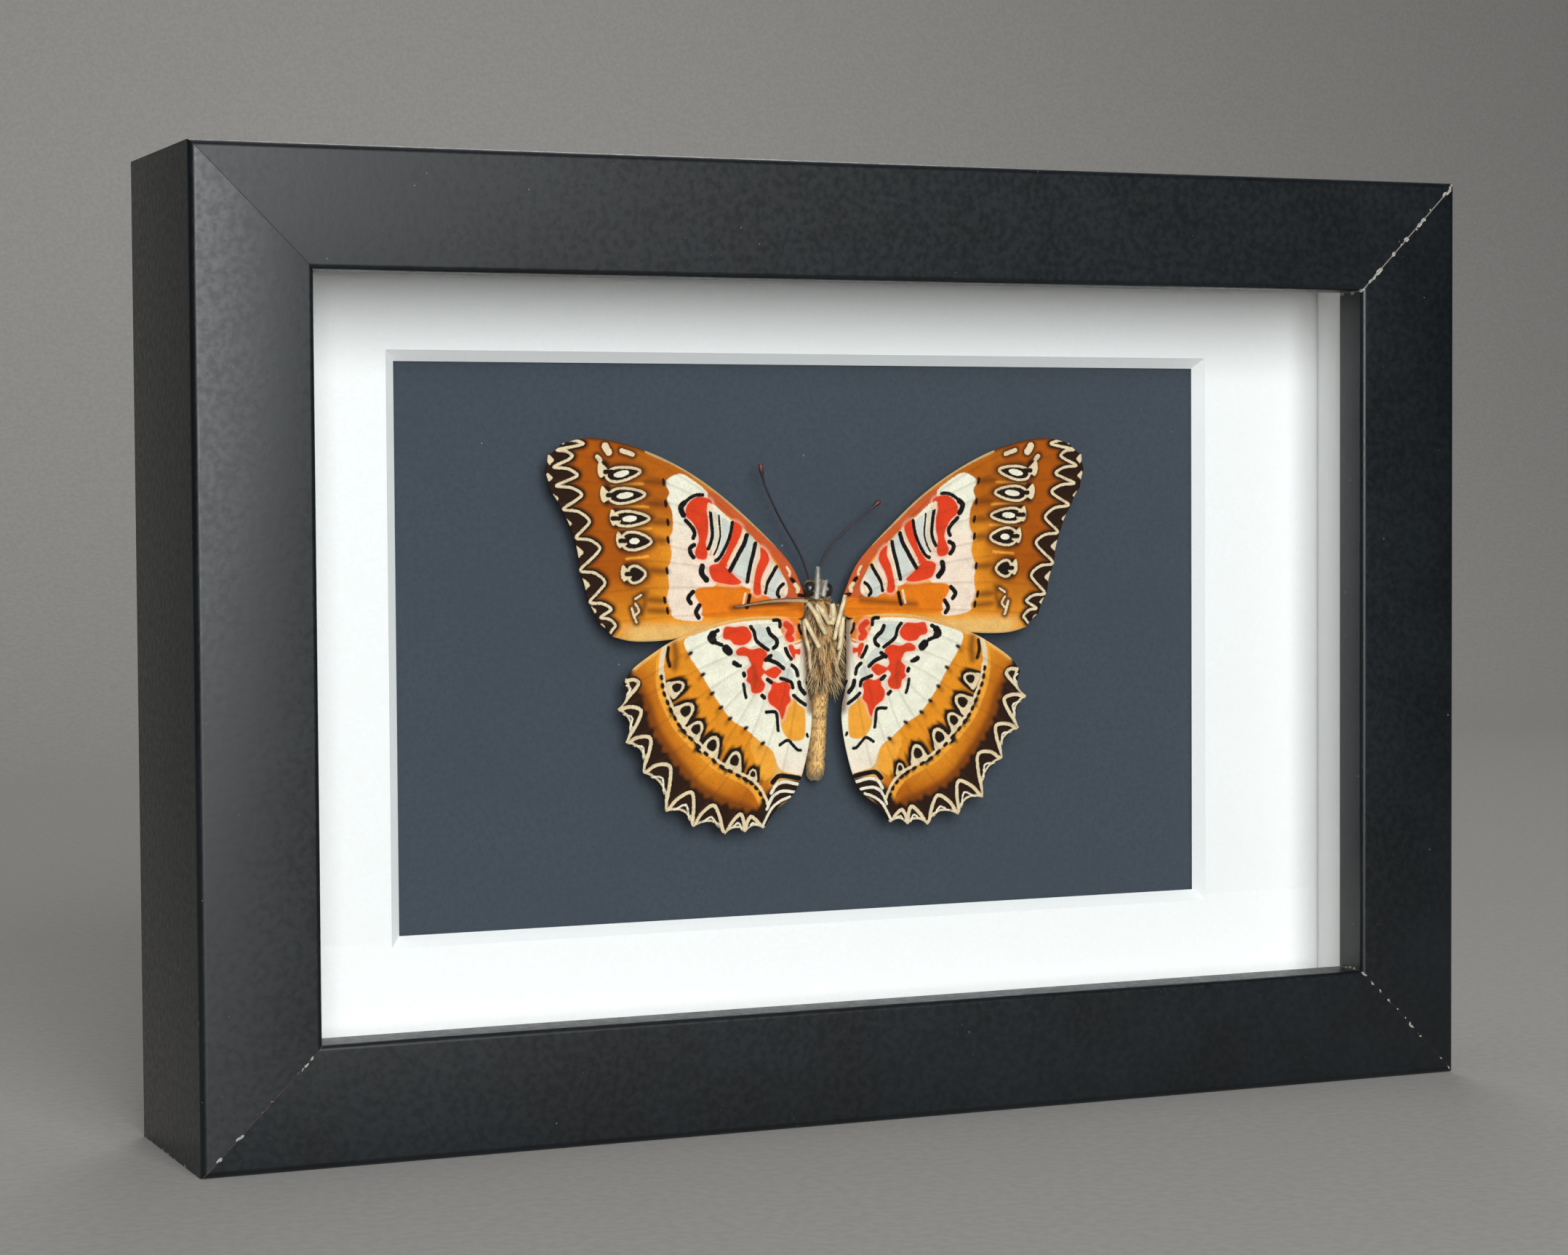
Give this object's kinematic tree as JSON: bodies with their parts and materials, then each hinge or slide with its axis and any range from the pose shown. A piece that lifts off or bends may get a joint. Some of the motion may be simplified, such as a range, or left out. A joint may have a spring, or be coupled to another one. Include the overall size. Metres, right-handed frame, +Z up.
{
  "type": "framed butterfly specimen",
  "caption": "Shallow glazed box frame holding a set red lacewing butterfly, underside out, on a dark card behind a white bevelled mat; stands on its edge or hangs on a wall.",
  "frame": {"origin": "middle of the underside of the bottom rail, half way through the frame's depth", "axes": "+Z up, -Y out of the glass towards the viewer, +X to the viewer's right along the frame's width"},
  "size_m": [0.1766, 0.031, 0.123],
  "materials": {
    "black_foil_frame": "satin black foil on board",
    "picture_glass": "clear float glass",
    "white_mat_board": "matte white",
    "slate_card": "matte slate blue",
    "hardboard": "smooth brown hardboard",
    "zinc_plated_steel": "zinc plated",
    "body_hair": "straw-coloured hair",
    "wing_scales": "matte scales in orange, red, cream and brown-black",
    "leg_chitin": "satin straw",
    "antenna_chitin": "satin dark brown"
  },
  "bodies": {
    "root": {"frame_rail_top": "black_foil_frame", "frame_rail_bottom": "black_foil_frame", "frame_rail_left": "black_foil_frame", "frame_rail_right": "black_foil_frame", "glass_pane": "picture_glass", "spacer_top": "white_mat_board", "spacer_bottom": "white_mat_board", "spacer_left": "white_mat_board", "spacer_right": "white_mat_board", "mat_board": "white_mat_board", "mount_card": "slate_card", "backing_board": "hardboard", "retaining_tab_1": "zinc_plated_steel", "retaining_tab_2": "zinc_plated_steel", "retaining_tab_3": "zinc_plated_steel", "retaining_tab_4": "zinc_plated_steel", "retaining_tab_5": "zinc_plated_steel", "retaining_tab_6": "zinc_plated_steel", "hanger_plate": "zinc_plated_steel", "hanger_nail_left": "zinc_plated_steel", "hanger_nail_right": "zinc_plated_steel", "butterfly_body": "body_hair", "forewing_left": "wing_scales", "forewing_right": "wing_scales", "hindwing_left": "wing_scales", "hindwing_right": "wing_scales", "leg_left_fore": "leg_chitin", "leg_left_middle": "leg_chitin", "leg_left_hind": "leg_chitin", "leg_right_fore": "leg_chitin", "leg_right_middle": "leg_chitin", "leg_right_hind": "leg_chitin", "antenna_left": "antenna_chitin", "antenna_right": "antenna_chitin", "palp_left": "body_hair", "palp_right": "body_hair"}
  },
  "joints": []
}
